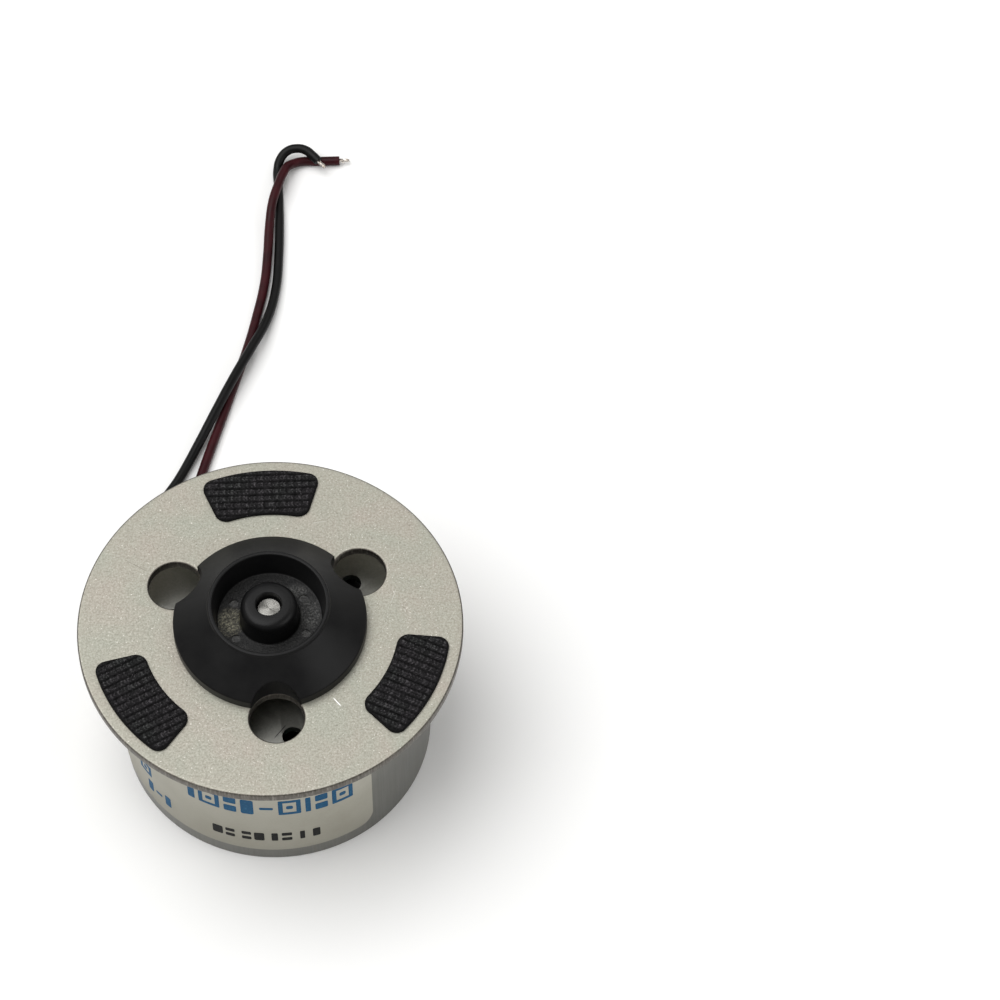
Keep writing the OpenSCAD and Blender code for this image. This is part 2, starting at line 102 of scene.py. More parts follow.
def finish(name, roughness=0.5, metallic=0.0, **sockets):
    """A new material whose plain numbers sit on the shader's own sockets."""
    made = bpy.data.materials.new(name)
    made.use_nodes = True
    sockets.update(Roughness=roughness, Metallic=metallic)
    for socket, value in sockets.items():
        surface_of(made).inputs[socket.replace("_", " ")].default_value = value
    return made


def wire_up(made, source, target):
    """Wires a node's output to a socket, or sets a plain number or colour on it."""
    if isinstance(source, bpy.types.NodeSocket):
        made.node_tree.links.new(source, target)
    else:
        target.default_value = (*source, 1) if isinstance(source, tuple) else source


def place(made, stretch=(1, 1, 1), turn=0.0, centre=(0, 0, 0)):
    """The object's own coordinates, in metres, turned about Z and stretched."""
    nodes = made.node_tree.nodes
    where = nodes.new("ShaderNodeTexCoord")
    mapping = nodes.new("ShaderNodeMapping")
    mapping.vector_type = "TEXTURE"
    mapping.inputs["Location"].default_value = centre
    mapping.inputs["Rotation"].default_value = (0, 0, turn)
    mapping.inputs["Scale"].default_value = stretch
    wire_up(made, where.outputs["Object"], mapping.inputs["Vector"])
    return mapping.outputs["Vector"]


def cloud(made, where, size, detail=2.0, roughness=0.5, distortion=0.0):
    """A soft random value, with features about size across, in metres."""
    node = made.node_tree.nodes.new("ShaderNodeTexNoise")
    node.inputs["Scale"].default_value = 1 / size
    node.inputs["Detail"].default_value = detail
    node.inputs["Roughness"].default_value = roughness
    node.inputs["Distortion"].default_value = distortion
    wire_up(made, where, node.inputs["Vector"])
    return node.outputs["Fac"]


def shades(made, value, *stops):
    """A colour for each value, from (position, colour) stops."""
    node = made.node_tree.nodes.new("ShaderNodeValToRGB")
    ramp = node.color_ramp
    while len(ramp.elements) < len(stops):
        ramp.elements.new(1.0)
    for element, (position, colour) in zip(ramp.elements, stops):
        element.position = position
        element.color = (*colour, 1)
    wire_up(made, value, node.inputs["Fac"])
    return node.outputs["Color"]


def between(made, value, low, high, to_low=0.0, to_high=1.0):
    """The value spread from low..high to to_low..to_high, and held there."""
    node = made.node_tree.nodes.new("ShaderNodeMapRange")
    node.inputs["From Min"].default_value = low
    node.inputs["From Max"].default_value = high
    node.inputs["To Min"].default_value = to_low
    node.inputs["To Max"].default_value = to_high
    wire_up(made, value, node.inputs["Value"])
    return node.outputs["Result"]


def blended(made, amount, first, second, how="MIX"):
    """Two colours blended; a plain number or colour may stand for either."""
    node = made.node_tree.nodes.new("ShaderNodeMix")
    node.data_type = "RGBA"
    node.blend_type = how
    node.clamp_result = True
    wire_up(made, amount, node.inputs[0])
    wire_up(made, first, node.inputs[6])
    wire_up(made, second, node.inputs[7])
    return node.outputs[2]


def sums(made, how, first, second):
    """Arithmetic on two values, either of which may be a plain number."""
    node = made.node_tree.nodes.new("ShaderNodeMath")
    node.operation = how
    wire_up(made, first, node.inputs[0])
    wire_up(made, second, node.inputs[1])
    return node.outputs[0]


def stroke(made, centre, turn, length, width):
    """1 on a straight scratch, fading at its edges, and 0 elsewhere."""
    nodes = made.node_tree.nodes
    local = place(made, centre=centre, turn=turn, stretch=(length / 2, width / 2, 1))
    sizes = nodes.new("ShaderNodeVectorMath")
    sizes.operation = "ABSOLUTE"
    wire_up(made, local, sizes.inputs[0])
    parts = nodes.new("ShaderNodeSeparateXYZ")
    wire_up(made, sizes.outputs[0], parts.inputs[0])
    furthest = sums(made, "MAXIMUM", parts.outputs["X"], parts.outputs["Y"])
    return between(made, furthest, 1.0, 0.6)


def relief(made, value, height, under=None):
    """Raises the surface by height metres where the value is 1."""
    node = made.node_tree.nodes.new("ShaderNodeBump")
    node.inputs["Distance"].default_value = height
    wire_up(made, value, node.inputs["Height"])
    if under is not None:
        wire_up(made, under, node.inputs["Normal"])
    wire_up(made, node.outputs["Normal"], surface_of(made).inputs["Normal"])
    return node.outputs["Normal"]


def coloured(made, colour):
    wire_up(made, colour, surface_of(made).inputs["Base Color"])


def tinted(made, value, *stops):
    """Colours the surface from a value by (position, colour) stops."""
    coloured(made, shades(made, value, *stops))


def roughened(made, value, at_low, at_high, low=0.3, high=0.7):
    """Roughness from at_low to at_high as the value goes from low to high."""
    wire_up(made, between(made, value, low, high, at_low, at_high),
            surface_of(made).inputs["Roughness"])


print("finishing tools ready")

# %% [markdown]
# ## Flying leads
# Each lead is a thin PVC-covered wire, 0.8 mm across, that leaves the notch in
# the rim of the case, drops on to the table and lies there. The black one
# crosses the red one in a long low hump, and near their ends the two lie round
# each other the other way. A curve with a round bevel is the natural way to
# make a lead: its line is the wire's centre, so its length can be measured.
# The points are the centreline's own, in micrometres, and a Bezier curve whose
# handles start out automatic joins them smoothly.

# %% Routes of the leads
LEAD_D = 0.0008
LEAD_R = LEAD_D / 2
TOUCH = 0.000004


def in_metres(route):
    return [tuple(value / 1e6 for value in point) for point in route]


black_route = in_metres([
    (-7464, 7348, 1550), (-8600, 9000, 1550), (-9500, 10300, 1400), (-10400, 11600, 1050),
    (-11100, 13000, 650), (-11500, 14600, 450), (-11500, 16400, 400), (-11100, 18400, 400),
    (-10300, 20400, 400), (-9200, 22400, 450), (-7700, 25800, 700), (-6200, 29300, 1150),
    (-4900, 32400, 1300), (-3600, 35400, 1200), (-2500, 38500, 700), (-1900, 41900, 450),
    (-1800, 45400, 400), (-1850, 48200, 400), (-2000, 51000, 400), (-2150, 53000, 400),
    (-2250, 54500, 450), (-2050, 55350, 800), (-1450, 56000, 1150), (-650, 56200, 1300),
    (150, 56000, 1350), (750, 55500, 1300), (1300, 54950, 1200),
])
red_route = in_metres([
    (-4351, 9527, 1550), (-5500, 11200, 1550), (-6400, 12500, 1400), (-7200, 13800, 1000),
    (-7800, 15300, 600), (-8100, 17000, 400), (-8100, 18800, 400), (-7800, 20800, 400),
    (-7400, 22600, 400), (-6600, 25800, 400), (-5700, 29300, 400), (-4800, 32800, 400),
    (-4000, 36000, 400), (-3400, 39100, 400), (-2900, 42400, 450), (-2750, 45400, 550),
    (-2700, 48200, 800), (-2500, 50500, 1200), (-2050, 52400, 1300), (-1700, 53700, 1150),
    (-1400, 54500, 900), (-850, 55100, 600), (0, 55450, 450), (1100, 55500, 400),
    (2100, 55550, 400), (3100, 55600, 400),
])


def lead_curve(name, route):
    """One open Bezier spline through the route, as thick as the lead.

    A knot that lies on the table keeps level handles, so the lead stays on it."""
    data = bpy.data.curves.new(name, "CURVE")
    data.dimensions = "3D"
    data.resolution_u = 8
    data.bevel_depth = LEAD_R
    data.bevel_resolution = 5
    data.use_fill_caps = True
    spline = data.splines.new("BEZIER")
    spline.bezier_points.add(len(route) - 1)
    for knot, point in zip(spline.bezier_points, route):
        knot.co = point
        knot.handle_left_type = "AUTO"
        knot.handle_right_type = "AUTO"
    for knot in spline.bezier_points:
        knot.handle_left_type = "FREE"
        knot.handle_right_type = "FREE"
        on_table = knot.co.z < LEAD_R + TOUCH
        for handle in (knot.handle_left, knot.handle_right):
            handle.z = LEAD_R if on_table else max(handle.z, LEAD_R)
    made = bpy.data.objects.new(name, data)
    scene.collection.objects.link(made)
    return made


lead_black = lead_curve("flying_lead_black", black_route)
lead_red = lead_curve("flying_lead_red", red_route)
print("leads drawn through", len(black_route), "and", len(red_route), "points")

# %% [markdown]
# The cover is soft PVC, nearly smooth, with faint clouds in its colour and small
# bumps where the strands press through. Red PVC of this age is a deep maroon.


# %% PVC finishes
def pvc(name, dark, light):
    made = finish(name, Specular_IOR_Level=0.18)
    where = place(made)
    mottle = cloud(made, where, 0.0012, detail=3.0)
    tinted(made, mottle, (0.35, dark), (0.7, light))
    relief(made, cloud(made, where, 0.00022, detail=2.0), 0.000006)
    roughened(made, mottle, 0.36, 0.52)
    return made


red_pvc = pvc("red_pvc", (0.020, 0.0015, 0.003), (0.042, 0.003, 0.006))
black_pvc = pvc("black_pvc", (0.0012, 0.0012, 0.0012), (0.003, 0.0028, 0.0028))
lead_red.data.materials.append(red_pvc)
lead_black.data.materials.append(black_pvc)
print("PVC finishes:", red_pvc.name, black_pvc.name)

# %% [markdown]
# ## Modelling tools
# Each shape is drawn in millimetres in a bmesh and scaled to metres once, when it
# becomes an object. Three moves make most of them: draw a section and round its
# corners with a vertex bevel, spin it about the shaft, and carve it with a
# Boolean. Faces are smooth, and an edge stays sharp where the surface turns by
# more than 35 degrees.

# %% Tools for shapes
SHARP = math.radians(35)
ROUND_STEPS = 6


def piece(name, bm, body, slot, *finishes, replaces=()):
    """Makes a finished object from a bmesh drawn in millimetres."""
    bmesh.ops.scale(bm, vec=(MM, MM, MM), verts=bm.verts)
    mesh = bpy.data.meshes.new(name)
    bm.to_mesh(mesh)
    bm.free()
    for one in finishes:
        mesh.materials.append(one)
    mesh.shade_smooth()
    mesh.set_sharp_from_angle(angle=SHARP)
    made = bpy.data.objects.new(name, mesh)
    scene.collection.objects.link(made)
    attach(made, body)
    if replaces:
        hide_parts(*replaces)
    low, high = made.bound_box[0], made.bound_box[6]
    size = [round((b - a) / MM, 2) for a, b in zip(low, high)]
    print(name, "on", body, "size in mm", size, "faces", len(mesh.polygons))
    return made


def tidied(bm):
    """Merges doubles, then turns every face outwards."""
    bmesh.ops.remove_doubles(bm, verts=bm.verts, dist=1e-4)
    bmesh.ops.recalc_face_normals(bm, faces=bm.faces)
    return bm


def rounded(bm, geom, by, segments=ROUND_STEPS, affect="VERTICES"):
    """Bevels corners or edges to a round."""
    bmesh.ops.bevel(bm, geom=geom, affect=affect, offset=by, offset_type="OFFSET",
                    segments=segments, profile=0.5, material=-1)


def spun(bm, geom, angle, steps, climb=0.0, use_merge=False):
    """Spins geometry round the shaft's axis, climbing by that much a step."""
    bmesh.ops.spin(bm, geom=geom, cent=(0, 0, 0), axis=(0, 0, 1), dvec=(0, 0, climb),
                   angle=angle, steps=steps, use_merge=use_merge, use_duplicate=False)


def turned(bm, matrix):
    bmesh.ops.rotate(bm, verts=bm.verts, cent=(0, 0, 0), matrix=matrix)


def new_points(result):
    return [e for e in result["geom"] if isinstance(e, bmesh.types.BMVert)]


def open_edges(bm):
    return [e for e in bm.edges if e.is_boundary]


def section(bm, corners, closed=True):
    """Draws (radius, height, rounding) corners as edges in the XZ plane."""
    points = [bm.verts.new((c[0], 0, c[1])) for c in corners]
    pairs = list(zip(points, points[1:]))
    if closed:
        pairs.append((points[-1], points[0]))
    for pair in pairs:
        bm.edges.new(pair)
    for point, corner in zip(points, corners):
        if len(corner) > 2:
            rounded(bm, [point], corner[2])


def revolved(corners, steps, closed=True):
    """Spins a section once round the shaft's axis."""
    bm = bmesh.new()
    section(bm, corners, closed)
    spun(bm, bm.verts[:] + bm.edges[:], 2 * math.pi, steps, use_merge=True)
    return tidied(bm)


def post(x, y, low, high, diameter, segments=96):
    """A plain round cutter that stands on the table."""
    bm = bmesh.new()
    middle = Matrix.Translation((x, y, (low + high) / 2))
    bmesh.ops.create_cone(bm, cap_ends=True, segments=segments, radius1=diameter / 2,
                          radius2=diameter / 2, depth=high - low, matrix=middle)
    return bm


def block(low, high, turn):
    """A box cutter between two corners, turned about the shaft's axis."""
    bm = bmesh.new()
    size = [b - a for a, b in zip(low, high)]
    middle = [(a + b) / 2 for a, b in zip(low, high)]
    where = Matrix.Rotation(turn, 4, "Z") @ Matrix.Translation(middle)
    bmesh.ops.create_cube(bm, size=1, matrix=where @ Matrix.Diagonal((*size, 1)))
    return bm


def carved(bm, *tools, how="DIFFERENCE"):
    """The bmesh after a Boolean with each tool; the tools are used up."""
    objects = []
    for shape in (bm, *tools):
        mesh = bpy.data.meshes.new("blank")
        shape.to_mesh(mesh)
        shape.free()
        objects.append(bpy.data.objects.new("blank", mesh))
        scene.collection.objects.link(objects[-1])
    for tool in objects[1:]:
        boolean = objects[0].modifiers.new("carve", "BOOLEAN")
        boolean.operation = how
        boolean.solver = "EXACT"
        boolean.object = tool
    seen = objects[0].evaluated_get(bpy.context.evaluated_depsgraph_get())
    result = bmesh.new()
    result.from_mesh(seen.to_mesh())
    seen.to_mesh_clear()
    for one in objects:
        bpy.data.meshes.remove(one.data)
    return result


def round_the_shaft(radius, angle):
    """The point at that radius and angle, in the units of the radius."""
    return radius * math.cos(math.radians(angle)), radius * math.sin(math.radians(angle))


print("modelling tools ready")

# %% [markdown]
# ## Bare ends of the leads
# The ends are stripped and tinned: fine strands twisted together. A strand is a
# small circle spun round the lead's axis while it climbs by the spin operator's
# step vector. Three make the twist, which is turned to the lead's last direction.

# %% Strands
TIP_LENGTH, TIP_ROOT = 0.8, 0.08
STRAND_R, TWIST_R = 0.09, 0.095
TWIST, TWIST_STEPS = math.radians(200), 18
tinned = finish("tinned_copper", roughness=0.3, metallic=1.0)
tin_where = place(tinned)
tinted(tinned, cloud(tinned, tin_where, 0.0001, detail=3.0),
       (0.35, (0.52, 0.46, 0.40)), (0.65, (0.80, 0.78, 0.75)))
relief(tinned, cloud(tinned, tin_where, 0.00006), 0.000004)


def strands(name, route, replaced):
    end = Vector(route[-1])
    along = (end - Vector(route[-2])).normalized()
    climb = (TIP_LENGTH + TIP_ROOT) / TWIST_STEPS
    bm = bmesh.new()
    upright = Matrix.Rotation(math.pi / 2, 4, "X")
    for k in range(3):
        turn = Matrix.Rotation(k * 2 * math.pi / 3, 4, "Z")
        where = turn @ Matrix.Translation((TWIST_R, 0, 0)) @ upright
        ring = bmesh.ops.create_circle(bm, cap_ends=True, radius=STRAND_R, segments=10,
                                       matrix=where)["verts"]
        face = ring[0].link_faces[:]
        spun(bm, ring + list(face[0].edges) + face, TWIST, TWIST_STEPS, climb)
    bmesh.ops.translate(bm, verts=bm.verts, vec=(0, 0, -TIP_ROOT))
    tidied(bm)
    turned(bm, along.to_track_quat("Z", "Y").to_matrix())
    bmesh.ops.translate(bm, verts=bm.verts, vec=end / MM)
    return piece(name, bm, "stator", "tinned_copper", tinned, replaces=(replaced,))


tip_black = strands("strands_black", black_route, "lead_tip_black")
tip_red = strands("strands_red", red_route, "lead_tip_red")

for cord, tip, route, node, length in (
    (lead_black, tip_black, black_route, "lead_black", 0.0556),
    (lead_red, tip_red, red_route, "lead_red", 0.0519),
):
    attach(cord, "stator")
    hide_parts(node)

# %% [markdown]
# ## Turntable
# The turntable is a disc blanked from aluminium sheet, bead-blasted, with three
# holes that let a screwdriver reach the screws under it. A blank is flat, so its
# circles are drawn, filled between, and given the sheet's thickness. An inset
# keeps a flat margin along each rim, and a bevel breaks the edges as tumbling
# does. A Boolean would leave those rims sharp.

# %% Sizes of the rotor
disc_low, disc_top = (corner.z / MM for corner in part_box("turntable_disc"))
disc_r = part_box("turntable_disc")[1].x / MM
ROTOR_TURN = 5.8
ACCESS_D, ACCESS_REACH = 4.2, 8.2
SPIGOT_D = 5.2
access_holes = [ROTOR_TURN + 30 + 120 * i for i in range(3)]
print("turntable from", round(disc_low, 2), "to", round(disc_top, 2), "radius", round(disc_r, 2))

# %% Blank the turntable
RIM_MARGIN, EDGE_BREAK = 0.3, 0.1
circles = [(0, 0, disc_r, 288), (0, 0, SPIGOT_D / 2, 96)]
circles += [(*round_the_shaft(ACCESS_REACH, angle), ACCESS_D / 2, 96)
            for angle in access_holes]
blank = bmesh.new()
for x, y, radius, segments in circles:
    bmesh.ops.create_circle(blank, cap_ends=False, radius=radius, segments=segments,
                            matrix=Matrix.Translation((x, y, disc_low)))
bmesh.ops.triangle_fill(blank, use_beauty=True, use_dissolve=False, edges=blank.edges[:])
grown = bmesh.ops.extrude_face_region(blank, geom=blank.faces[:])
bmesh.ops.translate(blank, verts=new_points(grown), vec=(0, 0, disc_top - disc_low))
tidied(blank)
for side in (1, -1):
    flat = [f for f in blank.faces if f.normal.z * side > 0.9]
    bmesh.ops.inset_region(blank, faces=flat, thickness=RIM_MARGIN, use_even_offset=True)
rims = [e for e in blank.edges
        if len(e.link_faces) == 2 and e.calc_face_angle() > math.radians(60)]
rounded(blank, rims, EDGE_BREAK, segments=3, affect="EDGES")
print("turntable blanked with", len(rims), "rim edges rounded")

# %% [markdown]
# Bead blasting leaves craters about 0.1 mm across that each catch the light
# differently, so the metal looks like pale grit; its few bright specks are painted
# glints and its few dark specks painted shade. Storage adds faint cool and warm
# clouds and some hairline scratches.

# %% Bead-blasted aluminium
blasted = finish("blasted_aluminium", metallic=0.6)
grain_where = place(blasted)
grit = cloud(blasted, grain_where, 0.00016, detail=3.0, roughness=0.7)
metal = shades(blasted, grit, (0.34, (0.272, 0.258, 0.212)), (0.50, (0.375, 0.362, 0.307)),
               (0.66, (0.485, 0.471, 0.405)))
tone = cloud(blasted, grain_where, 0.0042, detail=3.0, roughness=0.6, distortion=0.6)
metal = blended(blasted, 0.42, metal,
                shades(blasted, tone, (0.3, (0.345, 0.368, 0.308)), (0.5, (0.375, 0.362, 0.307)),
                       (0.7, (0.405, 0.352, 0.307))))
# Painted glints and painted shade: bright and dark specks put in the colour where craters would
# catch or miss the light.
glint = between(blasted, cloud(blasted, grain_where, 0.00013, detail=1.0), 0.70, 0.76)
metal = blended(blasted, glint, metal, (0.74, 0.72, 0.66))
pit_shade = between(blasted, cloud(blasted, place(blasted, centre=(0.01, 0.02, 0)), 0.00020,
                             detail=1.0), 0.735, 0.78, 0.0, 0.5)
metal = blended(blasted, pit_shade, metal, (0.14, 0.128, 0.105))
SCRATCHES = [  # x, y, turn in degrees, length and width in millimetres, colour
    (5.36, -6.70, -49, 1.0, 0.10, (0.93, 0.92, 0.90)),
    (-3.1, -9.2, 20, 1.8, 0.05, (0.50, 0.49, 0.45)),
    (9.4, 2.7, 75, 1.4, 0.05, (0.52, 0.51, 0.46)),
    (-10.6, 5.1, -30, 2.2, 0.04, (0.22, 0.20, 0.17)),
    (3.4, 9.3, 10, 1.2, 0.05, (0.53, 0.52, 0.47)),
]
for x, y, turn, length, width, colour in SCRATCHES:
    mark = stroke(blasted, (x * MM, y * MM, 0), math.radians(turn), length * MM, width * MM)
    metal = blended(blasted, mark, metal, colour)
coloured(blasted, metal)
roughened(blasted, grit, 0.60, 0.42)
craters = relief(blasted, grit, 0.000016)
relief(blasted, tone, 0.00001, under=craters)

# %% [markdown]
# The press sheared the rim and the walls of the holes; they are painted darker,
# as painted shade, brighter only along fine upright tears, and they get a finish of their own.

# %% Sheared edges
sheared_and_shaded = finish("sheared_edge_and_shade", roughness=0.42, metallic=0.9)
tears = cloud(sheared_and_shaded, place(sheared_and_shaded, stretch=(1, 1, 6)), 0.00016, detail=3.0, roughness=0.6)
# These dark colours are painted shade on the rim and the walls of the holes; the tears are the
# lighter ones.
tinted(sheared_and_shaded, tears, (0.35, (0.085, 0.077, 0.066)), (0.55, (0.125, 0.115, 0.10)),
       (0.72, (0.22, 0.205, 0.18)))
relief(sheared_and_shaded, tears, 0.00001)
LEVEL = 0.97
for face in blank.faces:
    if abs(face.normal.z) < LEVEL:
        face.material_index = 1
piece("turntable", blank, "rotor", "turntable_aluminium", blasted, sheared_and_shaded,
      replaces=("turntable_disc",))

# %% [markdown]
# ## Centring hub
# The hub is moulded in black acetal. From outside in it has a straight band that
# centres the disc, a cone that guides it down, a rounded lip, a recess, and a
# boss round the shaft. It is round, so its section is spun. The screwdriver
# holes bite into its edge, and four ejector pins left shallow marks in the
# recess, and those are carved. First comes the finish of the cone and the boss,
# which are nearly smooth with faint clouds where the plastic flowed.

# %% Smooth black acetal
hub_black = finish("hub_black", Specular_IOR_Level=0.17)
hub_where = place(hub_black)
flow = cloud(hub_black, hub_where, 0.0022, detail=4.0, roughness=0.6)
tinted(hub_black, flow, (0.3, (0.0048, 0.0048, 0.0052)), (0.7, (0.0076, 0.0076, 0.0077)))
roughened(hub_black, flow, 0.30, 0.44)
relief(hub_black, cloud(hub_black, hub_where, 0.00012, detail=3.0), 0.0000035)

# %% [markdown]
# The mould's floor was spark eroded, so the recess has a coarse grain that the
# cone does not. Pale patches on it are painted sheen, a painted reflection of the
# lamps in the grain, the yellow one with some dust as well. Its faces get their
# own finish, and the ends of the ejector pins get a third, which is glossier.

# %% Eroded floor and ejector marks
eroded = finish("eroded_black", Specular_IOR_Level=0.30)
eroded_where = place(eroded)
sparks = cloud(eroded, eroded_where, 0.00016, detail=4.0, roughness=0.7)
floor_black = shades(eroded, sparks, (0.46, (0.0022, 0.0022, 0.0024)),
                     (0.60, (0.0080, 0.0080, 0.0078)), (0.72, (0.040, 0.038, 0.034)))
# The next two colours are for the pale patches: the first is dust with painted sheen, the second
# painted sheen alone.
dust_and_sheen = shades(eroded, sparks, (0.36, (0.008, 0.008, 0.006)),
                    (0.52, (0.085, 0.080, 0.058)), (0.66, (0.33, 0.31, 0.22)))
painted_sheen = shades(eroded, sparks, (0.36, (0.010, 0.010, 0.010)),
                    (0.52, (0.055, 0.055, 0.053)), (0.66, (0.20, 0.20, 0.19)))
FLAT = 99 * MM  # a patch this tall takes no notice of height
DUST_AND_SHEEN = [  # x, y, half the width and height in millimetres, how strong, its colour
    (-3.05, -0.35, 1.25, 1.5, 0.95, dust_and_sheen),
    (3.1, 0.4, 1.0, 1.7, 0.62, painted_sheen),
    (2.0, 2.5, 1.1, 0.7, 0.55, painted_sheen),
    (-2.2, -2.9, 0.9, 0.6, 0.50, painted_sheen),
]
# Each patch blends painted sheen, a painted reflection, into the black floor.
for x, y, wide, deep, most, tint in DUST_AND_SHEEN:
    spot = place(eroded, centre=(x * MM, y * MM, 0), stretch=(wide * MM, deep * MM, FLAT))
    spread = eroded.node_tree.nodes.new("ShaderNodeVectorMath")
    spread.operation = "LENGTH"
    wire_up(eroded, spot, spread.inputs[0])
    dust_and_sheen_amount = between(eroded, spread.outputs["Value"], 1.0, 0.45, 0.0, most)
    floor_black = blended(eroded, dust_and_sheen_amount, floor_black, tint)
coloured(eroded, floor_black)
roughened(eroded, sparks, 0.48, 0.26, low=0.4)
relief(eroded, sparks, 0.00006)

ejector = finish("ejector_face", roughness=0.34, Specular_IOR_Level=0.36)
ejector_tone = cloud(ejector, place(ejector), 0.00025, detail=3.0)
tinted(ejector, ejector_tone, (0.40, (0.003, 0.003, 0.003)), (0.66, (0.034, 0.033, 0.030)))
relief(ejector, ejector_tone, 0.00004)

# %% Mould the hub
HUB_R, BAND_H, HUB_H = 7.45, 0.85, 3.3
LIP_R, LIP_ROUND = 4.5, 0.3
RECESS_R, FLOOR_H = 4.05, 0.95
BOSS_R, BOSS_H, BOSS_ROUND = 2.15, 3.2, 0.6
STAKE_R, STAKE_H = 3.4, 0.4
SLEEVE_R, SHAFT_R, LEAD_IN = 2.0, 1.0, 0.06
hub_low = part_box("centring_hub")[0].z / MM
floor_z = disc_top + FLOOR_H
hub = revolved([
    (SHAFT_R, hub_low),
    (SLEEVE_R, hub_low, 0.08),
    (SLEEVE_R, disc_low - STAKE_H),
    (STAKE_R, disc_low - STAKE_H, 0.12),
    (STAKE_R, disc_low),
    (SPIGOT_D / 2, disc_low),
    (SPIGOT_D / 2, disc_top),
    (HUB_R, disc_top),
    (HUB_R, disc_top + BAND_H, 0.10),
    (LIP_R + LIP_ROUND * 0.75, disc_top + HUB_H - LIP_ROUND * 0.75, 0.05),
    (LIP_R + LIP_ROUND * 0.55, disc_top + HUB_H, 0.10),
    (LIP_R - LIP_ROUND * 0.55, disc_top + HUB_H, 0.10),
    (RECESS_R, floor_z, 0.10),
    (BOSS_R + 0.15, floor_z, 0.18),
    (BOSS_R, disc_top + BOSS_H, BOSS_ROUND),
    (SHAFT_R + LEAD_IN, disc_top + BOSS_H, 0.03),
    (SHAFT_R, disc_top + BOSS_H - LEAD_IN),
], steps=240)

# %% Carve the hub
MARK_D, MARK_DEPTH, MARK_REACH = 0.7, 0.08, 3.1
MARK_ANGLES = (30, 150, 210, 330)
BARELY, WELL_OVER = 0.01, 5.0
tools = [post(*round_the_shaft(ACCESS_REACH, angle), disc_top - BARELY,
              disc_top + WELL_OVER, ACCESS_D) for angle in access_holes]
tools += [post(*round_the_shaft(MARK_REACH, ROTOR_TURN + angle), floor_z - MARK_DEPTH,
               floor_z + 1, MARK_D, segments=40) for angle in MARK_ANGLES]
hub = carved(hub, *tools)
for face in hub.faces:
    middle = face.calc_center_median()
    reach = math.hypot(middle.x, middle.y)
    near_floor = abs(middle.z - floor_z) < MARK_DEPTH * 1.5
    if near_floor and BOSS_R + 0.1 < reach < RECESS_R - 0.05:
        face.material_index = 1 if middle.z > floor_z - MARK_DEPTH / 2 else 2
piece("hub", hub, "rotor", "hub_plastic", hub_black, eroded, ejector,
      replaces=("centring_hub",))

# %% [markdown]
# ## Shaft
# A ground steel pin with a chamfer at each end. Its top was faced on a lathe,
# which left fine rings that spread the light into a bright fan. The rings are
# real grooves here: the end is spun from a section whose edge steps up and down
# by a few microns, with the grinding marks left to the finish.

# %% Turn the shaft
shaft_low, shaft_top = (corner.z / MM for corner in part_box("shaft"))
CHAMFER = 0.16
RINGS, RING_DEPTH = 64, 0.0022
face_r = SHAFT_R - CHAMFER
grooves = [(face_r * (1 - k / RINGS), shaft_top - RING_DEPTH * (k % 2))
           for k in range(RINGS)]
pin = revolved([
    (0, shaft_low),
    (face_r, shaft_low),
    (SHAFT_R, shaft_low + CHAMFER),
    (SHAFT_R, shaft_top - CHAMFER),
    *grooves,
    (0, shaft_top),
], steps=96, closed=False)
print("shaft from", round(shaft_low, 2), "to", round(shaft_top, 2), "with", RINGS, "rings")

# %% Ground and faced steel
ground = finish("ground_steel", metallic=1.0)
lines = cloud(ground, place(ground, stretch=(12, 12, 0.5)), 0.00008, detail=3.0)
tinted(ground, lines, (0.3, (0.27, 0.262, 0.245)), (0.7, (0.39, 0.382, 0.365)))
roughened(ground, lines, 0.18, 0.34)
relief(ground, lines, 0.0000015)
faced = finish("faced_steel", metallic=1.0)
faced_tone = cloud(faced, place(faced), 0.0011, detail=2.0)
tinted(faced, faced_tone, (0.35, (0.235, 0.230, 0.215)), (0.65, (0.285, 0.28, 0.262)))
roughened(faced, faced_tone, 0.26, 0.34)
relief(faced, cloud(faced, place(faced), 0.00005), 0.0000005)
spindle = piece("spindle", pin, "rotor", "bright_steel", ground, faced, replaces=("shaft",))
for facet in spindle.data.polygons:
    if facet.center.z > (shaft_top - 2 * RING_DEPTH) * MM:
        facet.use_smooth = False
        facet.material_index = 1

# %% [markdown]
# ## Friction pads
# Three pads of black ribbed knit, die cut with rounded corners and glued down,
# stop the disc from slipping. Cloth simulation suits stuffed pads, but these lie
# flat under glue, so the knit itself is modelled: a fine grid is cut to the pad's
# outline by pulling its nearest points on to it, its points are lifted into ribs,
# and its edge is pressed down and closed with a wall and a floor.

# %% Outline of a pad
PAD_IN, PAD_OUT, PAD_HALF = 9.9, 13.9, math.radians(20)
PAD_T, PAD_CORNER = 0.4, 0.9
STEP = 1e-4


def inside_by(x, y):
    """How far a point is inside the pad's outline, in millimetres."""
    reach = math.hypot(x, y)
    ring = min(PAD_OUT - reach, reach - PAD_IN)
    side = reach * math.sin(PAD_HALF - abs(math.atan2(y, x)))
    near = (max(PAD_CORNER - ring, 0), max(PAD_CORNER - side, 0))
    if near[0] > 0 and near[1] > 0:
        return PAD_CORNER - math.hypot(*near)
    return min(ring, side)


def on_the_outline(x, y, by):
    """The point moved by that much towards the inside, square to the outline."""
    slope_x = (inside_by(x + STEP, y) - inside_by(x - STEP, y)) / (2 * STEP)
    slope_y = (inside_by(x, y + STEP) - inside_by(x, y - STEP)) / (2 * STEP)
    steep = math.hypot(slope_x, slope_y) ** 2
    return x + by * slope_x / steep, y + by * slope_y / steep


print("a pad is", round(2 * inside_by((PAD_IN + PAD_OUT) / 2, 0), 2), "mm deep")

# %% [markdown]
# The height of the cloth is a sum of waves: a round ridge for each rib with a
# seam down its middle, slanted legs of stitches on either side of the seam, the
# courses across, and a little stray unevenness. The ribs run along the pad's
# radius, or at the angle called grain to it.

# %% Height of the knit
RIB_PITCH, COURSE, RIB_DEPTH = 0.61, 0.59, 0.20
EDGE_ROLL, EDGE_DROP = 0.30, 0.22


